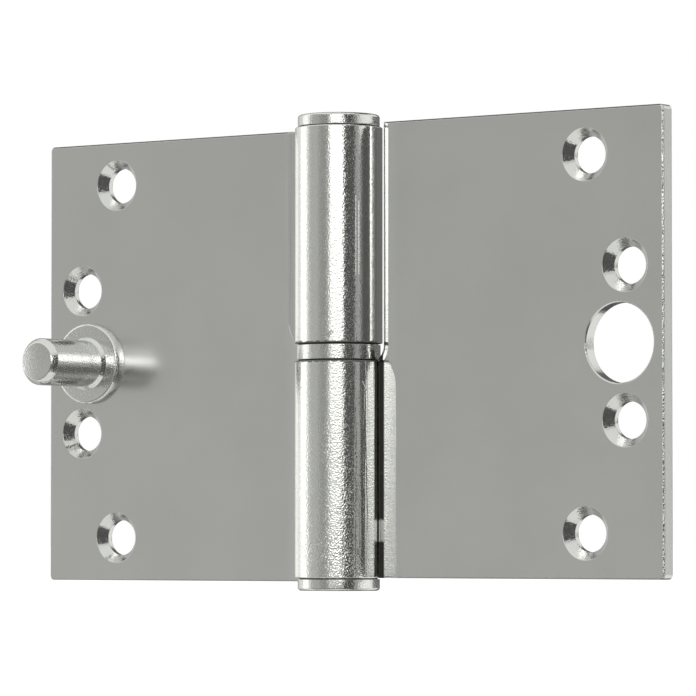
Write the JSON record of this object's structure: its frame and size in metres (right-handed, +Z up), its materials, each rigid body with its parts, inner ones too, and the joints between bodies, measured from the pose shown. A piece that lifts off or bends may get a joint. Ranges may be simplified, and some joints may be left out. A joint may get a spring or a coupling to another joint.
{
  "type": "paumelle hinge",
  "caption": "Lift-off butt hinge with rolled steel leaves on an upright pin, countersunk screw holes, a bearing ring, end caps and a riveted security pin that enters the other leaf.",
  "frame": {"origin": "on the hinge pin's axis, at the frame leaf's mid-height", "axes": "+X from the pin axis to the frame leaf, +Y to the backs of the leaves, +Z up along the pin; the screw heads and the security pin face -Y, and the leaves lie open in one plane"},
  "size_m": [0.15, 0.0245, 0.0933],
  "materials": {
    "plated_sheet": "bright zinc plate on rolled sheet, a slightly rough mirror",
    "turned_steel": "bright zinc plate over fine turning marks"
  },
  "bodies": {
    "frame": {"frame_leaf": "plated_sheet", "hinge_pin": "turned_steel", "bearing_ring": "turned_steel", "bottom_cap": "turned_steel"},
    "door": {"door_leaf": "plated_sheet", "top_cap": "turned_steel", "security_pin": "turned_steel"}
  },
  "joints": [
    {"name": "door_swing", "type": "hinge", "parent": "frame", "child": "door", "pos_m": [0, 0, 0], "axis": [0, 0, 1], "range_deg": [-120, 180]}
  ]
}
